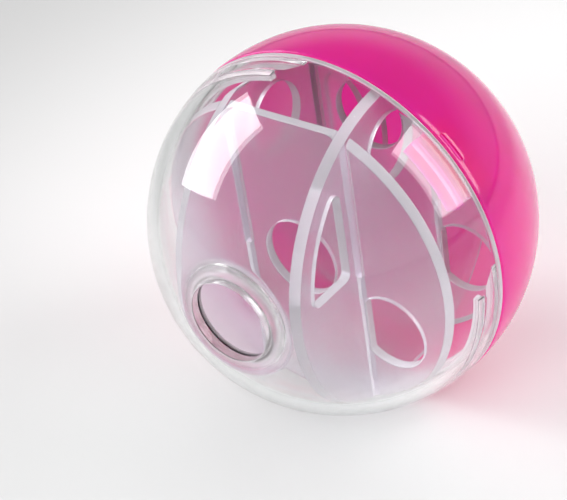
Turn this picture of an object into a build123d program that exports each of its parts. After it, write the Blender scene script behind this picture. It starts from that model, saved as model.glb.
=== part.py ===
"""Treat dispensing ball: two twist-together half shells around a slotted-plate labyrinth.

Millimetres, Z up, origin at the ball's centre. The ball's axis lies along Y: the treat hole is in the
clear half and faces -Y, the pink half closes the ball on the +Y side.
"""

import math
import os

from build123d import *

# The ball
ball_radius = 25.0
wall = 1.45
inner_radius = ball_radius - wall
parting_y = -1.0
rim_gap = 0.15
clear_rim_y = parting_y - rim_gap

# Treat hole at the clear pole: flush outside, with a rolled lip inside that runs out into the wall
hole_radius = 5.6
hole_edge_round = 0.15
lip_radius = 0.75
lip_ring_radius = hole_radius + lip_radius
lip_ring_y = -22.75
lip_blend = 3.0
throat_cut_length = 4 * wall

# Rounded outer edges of the two rims
clear_rim_round = 0.35
pink_rim_round = 0.2

# Twist closure inside the clear rim: two pairs of ribs on the wall, which the pink lugs turn in between
rib_root_radius = 23.8
rib_start = 94.0
rib_span = 76.0
rib_turns = (0.0, 180.0)
keeper_lead = 10.0
keeper_radius = 22.45
keeper_front_y = -2.25
keeper_rear_y = -1.45
guide_radius = 22.35
guide_front_y = -4.9
guide_rear_y = -3.9
stop_start = 143.5
stop_span = 3.0

# Pink lugs
lug_start = 40.0
lug_span = 24.0
lug_inner_radius = 21.2
lug_neck_radius = 22.2
lug_head_radius = 23.0
lug_head_front_y = -3.65
lug_head_rear_y = -2.5
lug_root_radius = 23.75
lug_gusset_y = 1.0
lug_root_y = 3.4

# Short sunk mark on the pink rim that shows where a lug is
mark_start = 44.0
mark_span = 9.0
mark_rear_y = 0.05
mark_front_y = -0.35
mark_depth = 0.25
mark_cut_radius = ball_radius + mark_depth

# Labyrinth: four flat plates, half lapped, trimmed to a sphere that fits inside the shells
labyrinth_radius = 23.2
plate_offset = 8.6
plate_thickness = 1.3
slot_clearance = 0.1
slot_width = plate_thickness + 2 * slot_clearance
tongue_end = 20.2
edge_round = 0.3
radius_match = 0.001

# Openings in the plates
centre_hole_radius = 5.2
strip_hole_radius = 5.0
strip_hole_z = 11.3
wing_hole_radius = 4.9
wing_hole_x = 12.6
wing_hole_z = -7.4
wing_hole_land = 0.2
wing_hole_side_x = plate_offset + plate_thickness / 2 + wing_hole_land
side_hole_radius = 4.5
side_hole_z = 13.6
window_arc_radius = 18.5
window_front_y = -11.1
window_base_z = 1.15
window_corner = 1.0

# Flats on the side plates' edges that clear the ribs
relief_radius = 22.1
relief_near_y = 1.1
relief_far_y = 7.2
relief_lower_sector = (145.0, 27.0)
relief_upper_sector = (8.0, 27.0)


def radial_plane(angle):
    """Plane through the ball's axis: local x points outwards at an angle from +Z towards +X, local y is Y."""
    return Plane.XY.rotated((0, angle - 90, 0))


def polar(radius, angle):
    """Point at a radius and an angle from +Z towards +X, in the local axes of the cross plane (x, z)."""
    return (radius * math.sin(math.radians(angle)), radius * math.cos(math.radians(angle)))


def cross_plane(y):
    """Plane across the ball's axis at y: local x is X, local y is Z, its normal points to -Y."""
    return Plane(origin=(0, y, 0), x_dir=(1, 0, 0), z_dir=(0, -1, 0))


def side_plane(x):
    """Plane parallel to the side plates at x: local x is Y, local y is Z."""
    return Plane(origin=(x, 0, 0), x_dir=(0, 1, 0), z_dir=(1, 0, 0))


def arc_angle(radius, y):
    """Angle of the point at height y on a circle around the ball's centre, from the radial direction."""
    return math.degrees(math.asin(y / radius))


def draw_shell_section(rim_y, pole_angle):
    """Face of a half shell's wall, from its rim at rim_y to its pole at +90 or -90 degrees."""
    outer_start = arc_angle(ball_radius, rim_y)
    inner_start = arc_angle(inner_radius, rim_y)
    with BuildLine() as outline:
        outer = CenterArc((0, 0), ball_radius, outer_start, pole_angle - outer_start)
        inner = CenterArc((0, 0), inner_radius, inner_start, pole_angle - inner_start)
        Line(outer @ 0, inner @ 0)
        Line(outer @ 1, inner @ 1)
    make_face(outline.edges())


def draw_ring_sector(inner, outer, start, span, lead=0.0):
    """Sector of a ring in the cross plane; a lead runs the inner edge out to the ring over that angle."""
    end = start + span
    with BuildLine() as outline:
        Line(polar(outer, start - lead), polar(inner, start))
        ThreePointArc(polar(inner, start), polar(inner, start + span / 2), polar(inner, end))
        Line(polar(inner, end), polar(outer, end + lead))
        ThreePointArc(polar(outer, end + lead), polar(outer, start + span / 2), polar(outer, start - lead))
    make_face(outline.edges())


def rings(shell):
    """Full circles around the ball's axis, the narrowest first."""
    circles = shell.edges().filter_by(GeomType.CIRCLE)
    return circles.filter_by(lambda edge: edge.is_closed).sort_by(lambda edge: edge.radius)


# Clear half with the treat hole and the ribs of the twist closure
with BuildPart() as clear_half:
    with BuildSketch(Plane.XY):
        draw_shell_section(clear_rim_y, -90)
        with Locations((lip_ring_radius, lip_ring_y)):
            Circle(lip_radius)
            Rectangle(lip_radius, wall / 2, align=(Align.MAX, Align.MAX))
        with Locations((0, lip_ring_y)):
            Rectangle(2 * hole_radius, throat_cut_length, mode=Mode.SUBTRACT)
    revolve(axis=Axis.Y)
    fillet(rings(clear_half)[-1], clear_rim_round)
    fillet(rings(clear_half).sort_by(Axis.Y)[0], hole_edge_round)
    lip_reach = lip_ring_radius + 2 * lip_radius
    fillet(rings(clear_half).filter_by(lambda edge: lip_ring_radius < edge.radius < lip_reach), lip_blend)
    for turn in rib_turns:
        with BuildSketch(cross_plane(keeper_rear_y)):
            draw_ring_sector(keeper_radius, rib_root_radius, rib_start + turn, rib_span, keeper_lead)
        extrude(amount=keeper_rear_y - keeper_front_y)
        with BuildSketch(cross_plane(guide_rear_y)):
            draw_ring_sector(guide_radius, rib_root_radius, rib_start + turn, rib_span)
        extrude(amount=guide_rear_y - guide_front_y)
        with BuildSketch(cross_plane(keeper_front_y)):
            draw_ring_sector(keeper_radius, rib_root_radius, stop_start + turn, stop_span)
        extrude(amount=keeper_front_y - guide_rear_y)

# Pink half with its two lugs and the mark on its rim
with BuildPart() as pink_half:
    with BuildSketch(Plane.XY):
        draw_shell_section(parting_y, 90)
    revolve(axis=Axis.Y)
    fillet(rings(pink_half)[-1], pink_rim_round)
    for turn in rib_turns:
        with BuildSketch(radial_plane(lug_start + turn)):
            with BuildLine():
                Polyline(
                    (lug_root_radius, lug_root_y),
                    (lug_inner_radius, lug_gusset_y),
                    (lug_inner_radius, lug_head_front_y),
                    (lug_head_radius, lug_head_front_y),
                    (lug_head_radius, lug_head_rear_y),
                    (lug_neck_radius, lug_head_rear_y),
                    (lug_neck_radius, parting_y),
                    (lug_root_radius, parting_y),
                    close=True,
                )
            make_face()
        revolve(axis=Axis.Y, revolution_arc=lug_span)
    with BuildSketch(cross_plane(mark_rear_y)):
        draw_ring_sector(ball_radius - mark_depth, mark_cut_radius, mark_start, mark_span)
    extrude(amount=mark_rear_y - mark_front_y, mode=Mode.SUBTRACT)


def draw_plate_section(flip):
    """Half section of a plate: a slab at plate_offset whose outer edge follows the labyrinth's sphere."""
    near = plate_offset - plate_thickness / 2
    far = plate_offset + plate_thickness / 2
    near_reach = math.sqrt(labyrinth_radius**2 - near**2)
    far_reach = math.sqrt(labyrinth_radius**2 - far**2)
    mid_reach = math.sqrt(labyrinth_radius**2 - plate_offset**2)
    with BuildLine() as outline:
        Polyline((far_reach, flip * far), (0, flip * far), (0, flip * near), (near_reach, flip * near))
        ThreePointArc(
            (near_reach, flip * near), (mid_reach, flip * plate_offset), (far_reach, flip * far)
        )
    make_face(outline.edges())


def draw_slots(slotted_half):
    """The two slots that open at one end of a plate and reach its middle; slotted_half is 1 or -1."""
    slot_length = ball_radius
    with Locations(
        (plate_offset, slotted_half * slot_length / 2), (-plate_offset, slotted_half * slot_length / 2)
    ):
        Rectangle(slot_width, slot_length)


def draw_tongue_end(slotted_half):
    """Waste beyond the straight end of the tongue between the two slots."""
    waste = ball_radius - tongue_end
    with Locations((0, slotted_half * (tongue_end + waste / 2))):
        Rectangle(2 * plate_offset, waste)


def draw_wing_hole():
    """Round hole in a cross plate's wing, cut straight where the side plate passes."""
    with BuildLine() as outline:
        half_chord = math.sqrt(wing_hole_radius**2 - (wing_hole_x - wing_hole_side_x) ** 2)
        top = (wing_hole_side_x, wing_hole_z + half_chord)
        bottom = (wing_hole_side_x, wing_hole_z - half_chord)
        ThreePointArc(top, (wing_hole_x + wing_hole_radius, wing_hole_z), bottom)
        Line(bottom, top)
    make_face(outline.edges())


def round_openings(part, radius):
    """Both rims of a plate's round holes, found by their radius."""
    return part.edges().filter_by(GeomType.CIRCLE).filter_by(lambda e: abs(e.radius - radius) < radius_match)


# Front cross plate, nearest the treat hole: outlet hole on the axis and a hole in the right wing
with BuildPart() as front_plate:
    with BuildSketch(Plane.XY):
        draw_plate_section(-1)
    revolve(axis=Axis.Y)
    with BuildSketch(cross_plane(0)):
        draw_slots(1)
        draw_tongue_end(1)
        Circle(centre_hole_radius)
        draw_wing_hole()
    extrude(amount=ball_radius, mode=Mode.SUBTRACT)
    fillet(round_openings(front_plate, centre_hole_radius), edge_round)

# Rear cross plate: hole high in the middle strip and a hole in the right wing
with BuildPart() as rear_plate:
    with BuildSketch(Plane.XY):
        draw_plate_section(1)
    revolve(axis=Axis.Y)
    with BuildSketch(cross_plane(0)):
        draw_slots(1)
        draw_tongue_end(1)
        with Locations((0, strip_hole_z)):
            Circle(strip_hole_radius)
        draw_wing_hole()
    extrude(amount=-ball_radius, mode=Mode.SUBTRACT)
    fillet(round_openings(rear_plate, strip_hole_radius), edge_round)

# Side plate, one moulding for both sides: a quarter window, a round hole and two edge flats
with BuildPart() as right_plate:
    with BuildSketch(Plane(origin=(0, 0, 0), x_dir=(0, 1, 0), z_dir=(0, 0, -1))):
        draw_plate_section(1)
    revolve(axis=Axis.X)
    with BuildSketch(side_plane(0)) as window:
        with BuildLine():
            window_top = math.sqrt(window_arc_radius**2 - window_front_y**2)
            window_end = -math.sqrt(window_arc_radius**2 - window_base_z**2)
            Polyline(
                (window_front_y, window_top), (window_front_y, window_base_z), (window_end, window_base_z)
            )
            RadiusArc((window_end, window_base_z), (window_front_y, window_top), window_arc_radius)
        make_face()
        fillet(window.vertices(), window_corner)
    extrude(amount=ball_radius, mode=Mode.SUBTRACT)
    with BuildSketch(side_plane(0)):
        draw_slots(-1)
        draw_tongue_end(-1)
        with Locations((0, side_hole_z)):
            Circle(side_hole_radius)
    extrude(amount=ball_radius, mode=Mode.SUBTRACT)
    fillet(round_openings(right_plate, side_hole_radius), edge_round)
    with BuildSketch(cross_plane(-relief_near_y)):
        draw_ring_sector(relief_radius, ball_radius, *relief_lower_sector)
    extrude(amount=relief_far_y - relief_near_y, mode=Mode.SUBTRACT)
    with BuildSketch(cross_plane(relief_far_y)):
        draw_ring_sector(relief_radius, ball_radius, *relief_upper_sector)
    extrude(amount=relief_far_y - relief_near_y, mode=Mode.SUBTRACT)

# The left side plate is the same moulding turned half round
with BuildPart() as left_plate:
    add(right_plate.part, rotation=(0, 0, 180))

nodes = {
    "clear_half": clear_half,
    "pink_half": pink_half,
    "labyrinth_front_plate": front_plate,
    "labyrinth_rear_plate": rear_plate,
    "labyrinth_right_plate": right_plate,
    "labyrinth_left_plate": left_plate,
}
os.makedirs("parts", exist_ok=True)
for name, node in nodes.items():
    node.part.label = name
    export_step(node.part, f"parts/{name}.step")
    box = node.part.bounding_box()
    print(f"{name}: {len(node.part.solids())} solid, {node.part.volume:.1f} mm3, {box.min} to {box.max}")
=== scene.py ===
import math

import bpy
from mathutils import Matrix, Vector


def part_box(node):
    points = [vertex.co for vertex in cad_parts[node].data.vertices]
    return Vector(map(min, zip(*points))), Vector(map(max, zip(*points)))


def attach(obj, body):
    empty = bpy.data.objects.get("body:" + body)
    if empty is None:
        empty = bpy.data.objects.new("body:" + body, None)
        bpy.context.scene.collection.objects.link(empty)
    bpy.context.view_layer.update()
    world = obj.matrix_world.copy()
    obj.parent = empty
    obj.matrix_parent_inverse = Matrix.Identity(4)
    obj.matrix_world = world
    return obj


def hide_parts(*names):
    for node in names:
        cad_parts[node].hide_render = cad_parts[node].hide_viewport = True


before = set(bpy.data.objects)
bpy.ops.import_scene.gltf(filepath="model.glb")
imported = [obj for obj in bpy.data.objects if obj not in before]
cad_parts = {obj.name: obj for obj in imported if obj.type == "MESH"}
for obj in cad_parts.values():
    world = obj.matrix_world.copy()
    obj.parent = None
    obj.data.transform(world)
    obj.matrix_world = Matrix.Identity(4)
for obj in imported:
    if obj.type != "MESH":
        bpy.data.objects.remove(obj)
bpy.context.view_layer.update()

mm = 0.001
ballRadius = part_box("pink_half")[1].z / mm        # 25 mm, the sizes below are in millimetres
outside = 1.2 * ballRadius        # a cutter that ends here is clear of the ball
mergeReach = 0.002
sectorStep = 1.5        # degrees between the points on a rib's arc
print("frame loaded, ball radius", round(ballRadius, 3), "mm")


# Small helpers

def deselectAll():
    if bpy.context.mode != "OBJECT":
        bpy.ops.object.mode_set(mode="OBJECT")
    bpy.ops.object.select_all(action="DESELECT")


def pick(*objs):
    deselectAll()
    for obj in objs:
        obj.select_set(True)
    bpy.context.view_layer.objects.active = objs[0]


def arcPoints(centre, radius, start, end, steps):        # in a flat sketch, angles in degrees
    turns = [math.radians(start + (end - start) * i / steps) for i in range(steps + 1)]
    return [(centre[0] + radius * math.cos(t), centre[1] + radius * math.sin(t)) for t in turns]


def angleOf(centre, point):
    return math.degrees(math.atan2(point[1] - centre[1], point[0] - centre[0]))


def circlesMeet(firstRadius, centre, secondRadius):        # first about (0, 0), the crossing further out
    far = math.hypot(*centre)
    along = (firstRadius**2 - secondRadius**2 + far**2) / (2 * far)
    aside = math.sqrt(firstRadius**2 - along**2)
    towards = (centre[0] / far, centre[1] / far)
    return (towards[0] * along - towards[1] * aside, towards[1] * along + towards[0] * aside)


def polar(radius, angle):        # (x, z) at an angle from up towards the right
    return (radius * math.sin(math.radians(angle)), radius * math.cos(math.radians(angle)))


def drawOutline(name, points, closed=True):        # a run of vertices, extruded one from the other
    deselectAll()
    bpy.ops.mesh.primitive_plane_add(size=mm)
    obj = bpy.context.active_object
    obj.name = name
    places = [Vector(p) * mm for p in points]
    bpy.ops.object.mode_set(mode="EDIT")
    bpy.ops.mesh.select_all(action="SELECT")
    bpy.ops.mesh.merge(type="CENTER")
    bpy.ops.transform.translate(value=places[0])
    for here, there in zip(places, places[1:]):
        bpy.ops.mesh.extrude_region_move(TRANSFORM_OT_translate={"value": there - here})
    if closed:
        bpy.ops.object.mode_set(mode="OBJECT")
        for vert in obj.data.vertices:
            vert.select = vert.index in (0, len(places) - 1)
        bpy.ops.object.mode_set(mode="EDIT")
        bpy.ops.mesh.edge_face_add()
    bpy.ops.mesh.select_all(action="SELECT")
    return obj        # left in edit mode, all selected


def mergeAndTurnOut(obj, reach=mergeReach):        # leaves edit mode
    bpy.ops.mesh.select_all(action="SELECT")
    bpy.ops.mesh.remove_doubles(threshold=reach * mm)
    bpy.ops.mesh.normals_make_consistent(inside=False)
    bpy.ops.object.mode_set(mode="OBJECT")
    return obj


def spinOutline(name, sketch, axis, turn, steps):        # sketch is (radius, height along the axis)
    points = [(p[0], p[1], 0) if axis == "Y" else (p[1], p[0], 0) for p in sketch]
    onAxis = sketch[0][0] < mergeReach
    obj = drawOutline(name, points, closed=not onAxis)
    direction = (0, 1, 0) if axis == "Y" else (1, 0, 0)
    bpy.ops.mesh.spin(steps=steps, angle=-math.radians(turn), center=(0, 0, 0), axis=direction)
    bpy.ops.mesh.select_all(action="SELECT")
    bpy.ops.mesh.remove_doubles(threshold=mergeReach * mm)
    if turn < 360:
        bpy.ops.mesh.fill_holes(sides=0)
    return mergeAndTurnOut(obj)


def ringSector(name, inner, outer, start, span, front, rear, lead=0.0):        # block between two arcs
    steps = max(3, round(span / sectorStep))
    turns = [start + span * i / steps for i in range(steps + 1)]
    reach = [start - lead + (span + 2 * lead) * i / steps for i in range(steps + 1)]
    flat = [polar(inner, t) for t in turns] + [polar(outer, t) for t in reversed(reach)]
    obj = drawOutline(name, [(x, rear, z) for x, z in flat])
    bpy.ops.mesh.edge_face_add()
    bpy.ops.mesh.extrude_region_move(TRANSFORM_OT_translate={"value": (0, (front - rear) * mm, 0)})
    return mergeAndTurnOut(obj)


def combine(obj, tool, operation):
    pick(obj)
    cut = obj.modifiers.new(operation.lower(), "BOOLEAN")
    cut.operation = operation
    cut.solver = "EXACT"
    cut.object = tool
    bpy.ops.object.modifier_apply(modifier=cut.name)
    bpy.data.objects.remove(tool)


def softenEdges(obj, width, segments, angle):        # the small radius that a mould leaves on an edge
    pick(obj)
    bevel = obj.modifiers.new("edgeRadius", "BEVEL")
    bevel.width = width * mm
    bevel.segments = segments
    bevel.limit_method = "ANGLE"
    bevel.angle_limit = math.radians(angle)
    bpy.ops.object.modifier_apply(modifier=bevel.name)


def shadeSmooth(obj, angle):
    pick(obj)
    bpy.ops.object.shade_smooth_by_angle(angle=math.radians(angle))


def evenNormals(obj):        # keeps the flat faces flat beside their rounded edges
    pick(obj)
    weighted = obj.modifiers.new("evenNormals", "WEIGHTED_NORMAL")
    weighted.keep_sharp = True
    bpy.ops.object.modifier_apply(modifier=weighted.name)


# Clear half: spun wall, treat hole with a rolled lip inside, ribs of the twist closure inside the rim

clearShell = {
    "wall": 1.45, "rim": -1.15, "rimRound": 0.35, "roundSteps": 6, "arcSteps": 48, "turnSteps": 240,
    "throat": 5.6, "holeRound": 0.15,
    "lipRadius": 0.75, "lipRingUp": -22.75, "lipBlend": 3.0, "lipSteps": 14,
    "ribStart": 94.0, "ribSpan": 76.0, "ribRoot": 23.8,
    "keeperRadius": 22.45, "keeperFront": -2.25, "keeperRear": -1.45, "keeperLead": 10.0,
    "guideRadius": 22.35, "guideFront": -4.9, "guideRear": -3.9,
    "stopStart": 143.5, "stopSpan": 3.0, "stopFront": -3.95, "stopRear": -2.2,
    "edgeRadius": 0.1, "edgeSegments": 2, "edgeAngle": 35.0, "smoothAngle": 30.0,
}


def clearSketch(s):
    origin = (0.0, 0.0)
    inner = ballRadius - s["wall"]
    rimUp = s["rim"] - s["rimRound"]
    rim = (math.sqrt((ballRadius - s["rimRound"]) ** 2 - rimUp**2), rimUp)        # centre of a rounded edge
    holeAcross = s["throat"] + s["holeRound"]
    hole = (holeAcross, -math.sqrt((ballRadius - s["holeRound"]) ** 2 - holeAcross**2))
    lip = (s["throat"] + s["lipRadius"], s["lipRingUp"])
    blend = circlesMeet(inner - s["lipBlend"], lip, s["lipRadius"] + s["lipBlend"])
    rimIn = math.degrees(math.asin(s["rim"] / inner))
    rimTurn, holeTurn, blendTurn = (angleOf(origin, centre) for centre in (rim, hole, blend))
    sketch = arcPoints(rim, s["rimRound"], 90, rimTurn, s["roundSteps"])
    sketch += arcPoints(origin, ballRadius, rimTurn, holeTurn, s["arcSteps"])[1:]
    sketch += arcPoints(hole, s["holeRound"], holeTurn, -180, s["roundSteps"])[1:]
    sketch += arcPoints(lip, s["lipRadius"], 180, angleOf(lip, blend), s["lipSteps"])
    sketch += arcPoints(blend, s["lipBlend"], angleOf(blend, lip), blendTurn, s["lipSteps"])[1:]
    sketch += arcPoints(origin, inner, blendTurn, rimIn, s["arcSteps"])[1:]
    return sketch


def makeClearHalf(s):
    shell = spinOutline("clearShell", clearSketch(s), "Y", 360, s["turnSteps"])
    for turn in (0, 180):
        ribStart = s["ribStart"] + turn
        stopStart = s["stopStart"] + turn
        keeper = ringSector("keeperRib", s["keeperRadius"], s["ribRoot"], ribStart, s["ribSpan"],
                            s["keeperFront"], s["keeperRear"], s["keeperLead"])
        guide = ringSector("guideRib", s["guideRadius"], s["ribRoot"], ribStart, s["ribSpan"],
                           s["guideFront"], s["guideRear"])
        stop = ringSector("twistStop", s["keeperRadius"], s["ribRoot"], stopStart, s["stopSpan"],
                          s["stopFront"], s["stopRear"])
        for rib in (keeper, guide, stop):
            combine(shell, rib, "UNION")
    softenEdges(shell, s["edgeRadius"], s["edgeSegments"], s["edgeAngle"])
    shadeSmooth(shell, s["smoothAngle"])
    return shell


clearPiece = makeClearHalf(clearShell)
print("clear half modelled,", len(clearPiece.data.polygons), "faces")


# Pink half: spun wall with the two lugs of the closure and a sunk mark on its rim

pinkShell = {
    "wall": 1.45, "rim": -1.0, "rimRound": 0.2, "roundSteps": 5, "arcSteps": 60, "turnSteps": 240,
    "lugStart": 40.0, "lugSpan": 24.0, "lugSteps": 20,
    "lugSketch": ((23.75, 3.4), (21.2, 1.0), (21.2, -3.65), (23.0, -3.65), (23.0, -2.5), (22.2, -2.5),
                  (22.2, -0.98), (23.75, -0.98)),
    "markStart": 44.0, "markSpan": 9.0, "markFront": -0.35, "markRear": 0.05, "markDepth": 0.25,
    "edgeRadius": 0.12, "edgeSegments": 2, "edgeAngle": 35.0, "smoothAngle": 30.0,
}


def pinkSketch(s):
    origin = (0.0, 0.0)
    inner = ballRadius - s["wall"]
    rimUp = s["rim"] + s["rimRound"]
    rim = (math.sqrt((ballRadius - s["rimRound"]) ** 2 - rimUp**2), rimUp)        # centre of the rounded edge
    rimIn = math.degrees(math.asin(s["rim"] / inner))
    sketch = arcPoints(origin, ballRadius, 90, angleOf(origin, rim), s["arcSteps"])
    sketch += arcPoints(rim, s["rimRound"], angleOf(origin, rim), -90, s["roundSteps"])[1:]
    sketch += arcPoints(origin, inner, rimIn, 90, s["arcSteps"])
    return sketch


def makePinkHalf(s):
    shell = spinOutline("pinkShell", pinkSketch(s), "Y", 360, s["turnSteps"])
    for turn in (0, 180):
        lug = spinOutline("twistLug", s["lugSketch"], "Y", s["lugSpan"], s["lugSteps"])
        lugTurn = math.radians(s["lugStart"] + turn - 90)        # a sketch starts at +X
        lug.data.transform(Matrix.Rotation(lugTurn, 4, "Y"))
        combine(shell, lug, "UNION")
    mark = ringSector("lugMark", ballRadius - s["markDepth"], ballRadius + s["markDepth"],
                      s["markStart"], s["markSpan"], s["markFront"], s["markRear"])
    combine(shell, mark, "DIFFERENCE")
    softenEdges(shell, s["edgeRadius"], s["edgeSegments"], s["edgeAngle"])
    shadeSmooth(shell, s["smoothAngle"])
    return shell


pinkPiece = makePinkHalf(pinkShell)
print("pink half modelled,", len(pinkPiece.data.polygons), "faces")


# Labyrinth: four half-lapped plates, each spun as a disc with a spherical edge and then cut

labyrinth = {
    "radius": 23.2, "offset": 8.6, "thickness": 1.3, "slotWidth": 1.5, "tongueEnd": 20.2,
    "turnSteps": 176, "holeSteps": 72, "flatAngle": 0.2,
    "centreHole": 5.2, "stripHole": 5.0, "stripHoleUp": 11.3,
    "wingHole": 4.9, "wingHoleAt": (12.6, -7.4), "wingHoleSide": 9.45,
    "sideHole": 4.5, "sideHoleUp": 13.6,
    "windowArc": 18.5, "windowFront": -11.1, "windowBase": 1.15, "windowCorner": 1.0,
    "arcSteps": 24, "cornerSteps": 6, "tipSteps": 8,
    "reliefRadius": 22.1, "reliefNear": 1.1, "reliefFar": 6.6, "reliefSpan": 27.0, "reliefUpper": 8.0,
    "weld": 0.2, "edgeRadius": 0.22, "edgeSegments": 3, "edgeAngle": 40.0, "smoothAngle": 35.0,
    "flatCosine": 0.95,
}


def discSketch(s, side):        # (radius, height) of a disc whose edge follows the sphere
    near, far = s["offset"] - s["thickness"] / 2, s["offset"] + s["thickness"] / 2
    rim = [(math.sqrt(s["radius"] ** 2 - h**2), side * h) for h in (near, far)]
    return [(0.0, side * near)] + rim + [(0.0, side * far)]


def makeDisc(s, name, side, axis):
    disc = spinOutline(name, discSketch(s, side), axis, 360, s["turnSteps"])
    pick(disc)
    bpy.ops.object.mode_set(mode="EDIT")
    bpy.ops.mesh.select_all(action="SELECT")
    bpy.ops.mesh.dissolve_limited(angle_limit=math.radians(s["flatAngle"]))        # one face a side
    bpy.ops.object.mode_set(mode="OBJECT")
    return disc


def cutThrough(disc, outline, axis):        # outline is (across, up), cut along the plate's axis
    reach = ballRadius
    if axis == "Y":
        points, push = [(x, -reach, z) for x, z in outline], (0, 2 * reach * mm, 0)
    else:
        points, push = [(-reach, y, z) for y, z in outline], (2 * reach * mm, 0, 0)
    tool = drawOutline("cutter", points)
    bpy.ops.mesh.edge_face_add()
    bpy.ops.mesh.extrude_region_move(TRANSFORM_OT_translate={"value": push})
    combine(disc, mergeAndTurnOut(tool), "DIFFERENCE")


def boxOutline(left, right, low, high):
    return [(left, low), (right, low), (right, high), (left, high)]


def roundOutline(s, centre, radius):
    return arcPoints(centre, radius, 0, 360, s["holeSteps"])[:-1]


def cutSlots(s, disc, axis, half):        # half is 1 where the slots open at the top, -1 at the bottom
    ends = sorted((0.0, half * outside))
    for side in (-1, 1):
        left = side * s["offset"] - s["slotWidth"] / 2
        right = side * s["offset"] + s["slotWidth"] / 2
        cutThrough(disc, boxOutline(left, right, *ends), axis)
    waste = sorted((half * s["tongueEnd"], half * outside))
    cutThrough(disc, boxOutline(-s["offset"], s["offset"], *waste), axis)


def wingOutline(s):        # round, cut straight where the side plate passes
    across, up = s["wingHoleAt"]
    halfTurn = math.degrees(math.acos((across - s["wingHoleSide"]) / s["wingHole"]))
    return arcPoints((across, up), s["wingHole"], halfTurn - 180, 180 - halfTurn, s["holeSteps"])


def windowOutline(s):        # quarter window: an upright, a base and an arc, with small round corners
    arc, corner = s["windowArc"], s["windowCorner"]
    front, base = s["windowFront"] - corner, s["windowBase"] + corner
    topUp = math.sqrt((arc - corner) ** 2 - front**2)
    endAcross = -math.sqrt((arc - corner) ** 2 - base**2)
    topTurn, endTurn = angleOf((0, 0), (front, topUp)), angleOf((0, 0), (endAcross, base))
    outline = arcPoints((front, base), corner, 0, -90, s["cornerSteps"])
    outline += arcPoints((endAcross, base), corner, -90, endTurn - 360, s["cornerSteps"])
    outline += arcPoints((0, 0), arc, endTurn, topTurn, s["arcSteps"])
    outline += arcPoints((front, topUp), corner, topTurn, 0, s["tipSteps"])
    return outline


def finishPlate(s, plate, axis):
    pick(plate)
    bpy.ops.object.mode_set(mode="EDIT")
    mergeAndTurnOut(plate, s["weld"])        # no edge is left too short for the edge radius
    softenEdges(plate, s["edgeRadius"], s["edgeSegments"], s["edgeAngle"])
    shadeSmooth(plate, s["smoothAngle"])
    evenNormals(plate)
    for face in plate.data.polygons:        # the narrow faces get a milkier look of their own
        face.material_index = int(abs(face.normal["XY".index(axis)]) < s["flatCosine"])
    return plate


def makeCrossPlate(s, name, side, middleHole):
    plate = makeDisc(s, name, side, "Y")
    cutThrough(plate, middleHole, "Y")
    cutThrough(plate, wingOutline(s), "Y")
    cutSlots(s, plate, "Y", 1)
    return finishPlate(s, plate, "Y")


def makeSidePlate(s, name):
    plate = makeDisc(s, name, 1, "X")
    cutThrough(plate, windowOutline(s), "X")
    cutThrough(plate, roundOutline(s, (0, s["sideHoleUp"]), s["sideHole"]), "X")
    cutSlots(s, plate, "X", -1)
    flat = ringSector("edgeFlat", s["reliefRadius"], outside, s["reliefUpper"], s["reliefSpan"],
                      s["reliefNear"], s["reliefFar"])        # clears the ribs on the left plate
    combine(plate, flat, "DIFFERENCE")
    return finishPlate(s, plate, "X")


centreRound = roundOutline(labyrinth, (0, 0), labyrinth["centreHole"])
stripRound = roundOutline(labyrinth, (0, labyrinth["stripHoleUp"]), labyrinth["stripHole"])
frontPiece = makeCrossPlate(labyrinth, "frontPlate", -1, centreRound)
rearPiece = makeCrossPlate(labyrinth, "rearPlate", 1, stripRound)
rightPiece = makeSidePlate(labyrinth, "rightPlate")
deselectAll()
leftPiece = rightPiece.copy()        # the same moulding turned half round
leftPiece.data = rightPiece.data.copy()
leftPiece.name = "leftPlate"
bpy.context.scene.collection.objects.link(leftPiece)
leftPiece.data.transform(Matrix.Rotation(math.pi, 4, "Z"))
print("labyrinth modelled")


# Materials

clearPlastic = {
    "colour": "#FCFDFD", "ior": 1.59, "roughness": (0.0, 0.02),
    "sinkSize": 9.0, "sinkDepth": 0.004, "scuffSize": 0.6, "shadowColour": "#F6F7F7",
    # painted highlight: a pale pinkish matt colour mixed into the rim band stands in for the bright line
    # where light catches the rim
    "mattAndRimHighlightColour": "#F7EDF3", "rimHighlight": 0.75, "rimHighlightFrom": 0.3, "rimHighlightTo": 0.15,
    "ribMatt": 0.5, "ribMattFrom": 0.1, "ribMattTo": 0.5,
}
pinkPlastic = {
    "colour": "#E31C80", "ior": 1.59, "roughness": (0.06, 0.14),
    "sinkSize": 12.0, "sinkDepth": 0.004, "scuffSize": 0.5,
    "soakDepth": 12.0, "soakShares": (0.8, 0.3, 0.68),
}
frostedPlastic = {
    "colour": "#FDF7FF", "ior": 1.49, "roughness": (0.2, 0.3),
    "sinkSize": 6.0, "sinkDepth": 0.01, "scuffSize": 0.35,
    "faceClear": 0.92, "edgeClear": 0.55,
}


def linear(hexColour):        # sRGB hex to linear
    parts = [int(hexColour[i:i + 2], 16) / 255 for i in (1, 3, 5)]
    return tuple(p / 12.92 if p <= 0.04045 else ((p + 0.055) / 1.055) ** 2.4 for p in parts) + (1.0,)


def addNode(tree, kind, settings=None, links=None):        # links maps an input to an output socket
    node = tree.nodes.new(kind)
    for key, value in (settings or {}).items():
        if isinstance(key, str) and hasattr(node, key):
            setattr(node, key, value)
        else:
            node.inputs[key].default_value = value
    for key, source in (links or {}).items():
        tree.links.new(source, node.inputs[key])
    return node


def newMaterial(name):
    made = bpy.data.materials.new(name)
    made.use_nodes = True
    made.node_tree.nodes.clear()
    return made, made.node_tree


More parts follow.
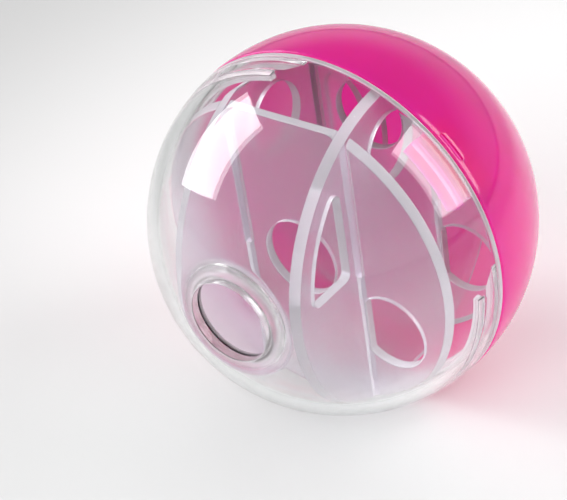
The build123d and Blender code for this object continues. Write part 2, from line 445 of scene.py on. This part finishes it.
def mouldedSurface(tree, s):        # the slow sink of a moulded wall, with fine handling scuffs on it
    place = addNode(tree, "ShaderNodeTexCoord").outputs["Object"]
    sink = addNode(tree, "ShaderNodeTexNoise", {
        "Scale": 1 / (s["sinkSize"] * mm), "Detail": 1.0}, {"Vector": place})
    scuff = addNode(tree, "ShaderNodeTexNoise", {
        "Scale": 1 / (s["scuffSize"] * mm), "Detail": 4.0}, {"Vector": place})
    gloss = addNode(tree, "ShaderNodeMapRange", {
        "To Min": s["roughness"][0], "To Max": s["roughness"][1]}, {"Value": scuff.outputs["Fac"]})
    bump = addNode(tree, "ShaderNodeBump", {
        "Strength": 1.0, "Distance": s["sinkDepth"] * mm}, {"Height": sink.outputs["Fac"]})
    return {"Roughness": gloss.outputs["Result"], "Normal": bump.outputs["Normal"]}


def makeClearPolystyrene(s, shell):        # polished mould: sharp see-through with a hard gloss
    made, tree = newMaterial("clearPolystyrene")
    body = addNode(tree, "ShaderNodeBsdfPrincipled", {
        "Base Color": linear(s["colour"]), "IOR": s["ior"], "Transmission Weight": 1.0,
    }, mouldedSurface(tree, s))
    place = addNode(tree, "ShaderNodeTexCoord").outputs["Object"]
    height = addNode(tree, "ShaderNodeSeparateXYZ", None, {"Vector": place}).outputs["Y"]
    rim = addNode(tree, "ShaderNodeMapRange", {        # painted highlight: the rim band is mixed towards a pale pinkish matt colour so that it looks white
        "From Min": (shell["rim"] - s["rimHighlightFrom"]) * mm,
        "From Max": (shell["rim"] - s["rimHighlightTo"]) * mm,
        "To Max": s["rimHighlight"]}, {"Value": height})
    inner = ballRadius - shell["wall"]
    radius = addNode(tree, "ShaderNodeVectorMath", {"operation": "LENGTH"}, {0: place})
    ribs = addNode(tree, "ShaderNodeMapRange", {        # the ribs and the lip inside the wall are half matt
        "From Min": (inner - s["ribMattTo"]) * mm, "From Max": (inner - s["ribMattFrom"]) * mm,
        "To Min": s["ribMatt"], "To Max": 0.0}, {"Value": radius.outputs["Value"]})
    mattAndHighlightShare = addNode(tree, "ShaderNodeMath", {"operation": "MAXIMUM"}, {
        0: rim.outputs["Result"], 1: ribs.outputs["Result"]})
    # the pale pinkish matt colour paints the highlight on the rim; the ribs and the lip take up to half of it
    paleHighlightMatt = addNode(tree, "ShaderNodeBsdfDiffuse", {"Color": linear(s["mattAndRimHighlightColour"])})
    surface = addNode(tree, "ShaderNodeMixShader", None, {
        0: mattAndHighlightShare.outputs[0], 1: body.outputs[0], 2: paleHighlightMatt.outputs[0]})
    lightIn = addNode(tree, "ShaderNodeBsdfTransparent", {"Color": linear(s["shadowColour"])})
    rays = addNode(tree, "ShaderNodeLightPath")
    through = addNode(tree, "ShaderNodeMixShader", None, {        # lamps shine into the ball
        0: rays.outputs["Is Shadow Ray"], 1: surface.outputs[0], 2: lightIn.outputs[0]})
    addNode(tree, "ShaderNodeOutputMaterial", None, {"Surface": through.outputs[0]})
    return made


def makePinkPolystyrene(s):        # polished mould: light soaks into the wall under a hard gloss
    made, tree = newMaterial("pinkPolystyrene")
    body = addNode(tree, "ShaderNodeBsdfPrincipled", {
        "Base Color": linear(s["colour"]), "IOR": s["ior"], "Subsurface Weight": 1.0,
        "Subsurface Radius": s["soakShares"], "Subsurface Scale": s["soakDepth"] * mm,
    }, mouldedSurface(tree, s))
    addNode(tree, "ShaderNodeOutputMaterial", None, {"Surface": body.outputs[0]})
    return made


def makeFrostedPolypropylene(s, name, clear):        # matt mould: milky, blurs what is behind it
    made, tree = newMaterial(name)
    body = addNode(tree, "ShaderNodeBsdfPrincipled", {
        "Base Color": linear(s["colour"]), "IOR": s["ior"], "Transmission Weight": clear,
    }, mouldedSurface(tree, s))
    addNode(tree, "ShaderNodeOutputMaterial", None, {"Surface": body.outputs[0]})
    return made


clearLooks = [makeClearPolystyrene(clearPlastic, clearShell)]
pinkLooks = [makePinkPolystyrene(pinkPlastic)]
frostedLooks = [
    makeFrostedPolypropylene(frostedPlastic, "frostedPolypropylene", frostedPlastic["faceClear"]),
    makeFrostedPolypropylene(frostedPlastic, "frostedPolypropyleneEdge", frostedPlastic["edgeClear"]),
]
dressing = (
    (clearPiece, clearLooks, "clear_half", "clear_half", "clear_plastic"),
    (pinkPiece, pinkLooks, "pink_half", "pink_half", "pink_plastic"),
    (frontPiece, frostedLooks, "labyrinth", "labyrinth_front_plate", "frosted_plastic"),
    (rearPiece, frostedLooks, "labyrinth", "labyrinth_rear_plate", "frosted_plastic"),
    (rightPiece, frostedLooks, "labyrinth", "labyrinth_right_plate", "frosted_plastic"),
    (leftPiece, frostedLooks, "labyrinth", "labyrinth_left_plate", "frosted_plastic"),
)
for piece, looks, body, node, slot in dressing:
    for look in looks:
        piece.data.materials.append(look)
    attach(piece, body)
    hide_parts(node)
    piece.visible_shadow = looks is not frostedLooks        # lamps shine on through the thin plates
print("materials assigned")


# Floor, light and camera

studio = {
    "floorSize": 3000.0, "floorNear": 0.82, "floorFar": 0.5,
    # a painted pool of light on the floor around the ball, fading to grey further off
    "lightPoolCentre": (20.0, 30.0, 0.0), "lightPoolReach": 60.0, "lightPoolEnd": 150.0,
    "horizon": 0.52, "ceiling": 0.18, "ceilingFrom": 0.1, "ceilingTo": 0.5,
}
softboxes = {        # along is the direction of a box's second side; one not mirrored gives light only
    "leftBox": {"towards": (-0.846, -0.199, 0.495), "along": (-0.29, -0.64, -0.71), "away": 600.0,
                "size": (330.0, 450.0), "power": 2.4, "mirrored": True},
    "rightBox": {"towards": (0.753, 0.403, 0.519), "along": (0.55, 0.02, -0.83), "away": 600.0,
                 "size": (312.0, 486.0), "power": 2.0, "mirrored": True},
    "backFill": {"towards": (-0.2, 0.9, 0.35), "along": (1.0, 0.2, 0.0), "away": 600.0,
                 "size": (700.0, 900.0), "power": 3.9, "mirrored": False},
    "frontFill": {"towards": (0.1, -0.78, 0.62), "along": (0.0, 0.0, 1.0), "away": 800.0,
                  "size": (500.0, 500.0), "power": 2.2, "mirrored": False},
}
view = {
    "azimuth": 39.76, "elevation": 34.17, "roll": -8.0, "away": 13.15,        # away is in ball radii
    "frame": (567, 500), "ballAt": (342.7, 219.9), "ballPixels": 196.2,        # in pixels
    "sensor": 36.0, "clipNear": 10.0, "clipFar": 10000.0,
}


def makeFloor(s):
    deselectAll()
    bpy.ops.mesh.primitive_plane_add(size=s["floorSize"] * mm, location=(0, 0, -ballRadius * mm))
    floor = bpy.context.active_object
    floor.name = "floor"
    made, tree = newMaterial("paleFloorWithLightPool")
    place = addNode(tree, "ShaderNodeTexCoord").outputs["Object"]
    centre = [c * mm for c in s["lightPoolCentre"]]
    away = addNode(tree, "ShaderNodeVectorMath", {"operation": "DISTANCE", 1: centre}, {0: place})
    shade = addNode(tree, "ShaderNodeMapRange", {        # painted pool of light: palest around the ball, greyer further off
        "interpolation_type": "SMOOTHSTEP",
        "From Min": s["lightPoolReach"] * mm, "From Max": s["lightPoolEnd"] * mm,
        "To Min": s["floorNear"], "To Max": s["floorFar"]}, {"Value": away.outputs["Value"]})
    paint = addNode(tree, "ShaderNodeBsdfDiffuse", None, {"Color": shade.outputs["Result"]})
    addNode(tree, "ShaderNodeOutputMaterial", None, {"Surface": paint.outputs[0]})
    floor.data.materials.append(made)


def makeWorld(s):
    world = bpy.data.worlds.new("studioWorld")
    bpy.context.scene.world = world
    world.use_nodes = True
    tree = world.node_tree
    tree.nodes.clear()
    towards = addNode(tree, "ShaderNodeTexCoord").outputs["Generated"]
    height = addNode(tree, "ShaderNodeSeparateXYZ", None, {"Vector": towards}).outputs["Z"]
    shade = addNode(tree, "ShaderNodeMapRange", {        # pale walls up to the ceiling's grey
        "interpolation_type": "SMOOTHSTEP",
        "From Min": s["ceilingFrom"], "From Max": s["ceilingTo"],
        "To Min": s["horizon"], "To Max": s["ceiling"]}, {"Value": height})
    walls = addNode(tree, "ShaderNodeBackground", None, {"Color": shade.outputs["Result"]})
    addNode(tree, "ShaderNodeOutputWorld", None, {"Surface": walls.outputs[0]})


def makeSoftbox(name, s):
    lamp = bpy.data.lights.new(name, "AREA")
    lamp.shape = "RECTANGLE"
    lamp.size, lamp.size_y = s["size"][0] * mm, s["size"][1] * mm
    lamp.energy = s["power"]
    box = bpy.data.objects.new(name, lamp)
    bpy.context.scene.collection.objects.link(box)
    towards = Vector(s["towards"]).normalized()
    across = Vector(s["along"]).cross(towards).normalized()
    aim = Matrix((across, towards.cross(across), towards)).transposed()        # a lamp shines along -Z
    box.matrix_world = Matrix.Translation(towards * s["away"] * mm) @ aim.to_4x4()
    box.visible_glossy = box.visible_transmission = s["mirrored"]


def makeCamera(s):
    focal = s["ballPixels"] * math.sqrt(s["away"] ** 2 - 1)        # in pixels
    camera = bpy.data.objects.new("camera", bpy.data.cameras.new("camera"))
    bpy.context.scene.collection.objects.link(camera)
    camera.data.sensor_width = s["sensor"]
    camera.data.lens = focal * s["sensor"] / s["frame"][0]
    camera.data.clip_start = s["clipNear"] * mm
    camera.data.clip_end = s["clipFar"] * mm
    stand = (Matrix.Rotation(math.radians(s["azimuth"]), 4, "Z")
             @ Matrix.Rotation(math.radians(90 - s["elevation"]), 4, "X"))
    away = stand @ Vector((0, 0, s["away"] * ballRadius * mm))
    across = math.atan((s["ballAt"][0] - s["frame"][0] / 2) / focal)
    upward = math.atan((s["frame"][1] / 2 - s["ballAt"][1]) / focal)
    aim = (stand @ Matrix.Rotation(math.radians(s["roll"]), 4, "Z")
           @ Matrix.Rotation(across, 4, "Y") @ Matrix.Rotation(-upward, 4, "X"))
    camera.matrix_world = Matrix.Translation(away) @ aim
    bpy.context.scene.camera = camera


makeFloor(studio)
makeWorld(studio)
for boxName, box in softboxes.items():
    makeSoftbox(boxName, box)
makeCamera(view)
bpy.context.scene.view_settings.view_transform = "Standard"
print("studio set up")
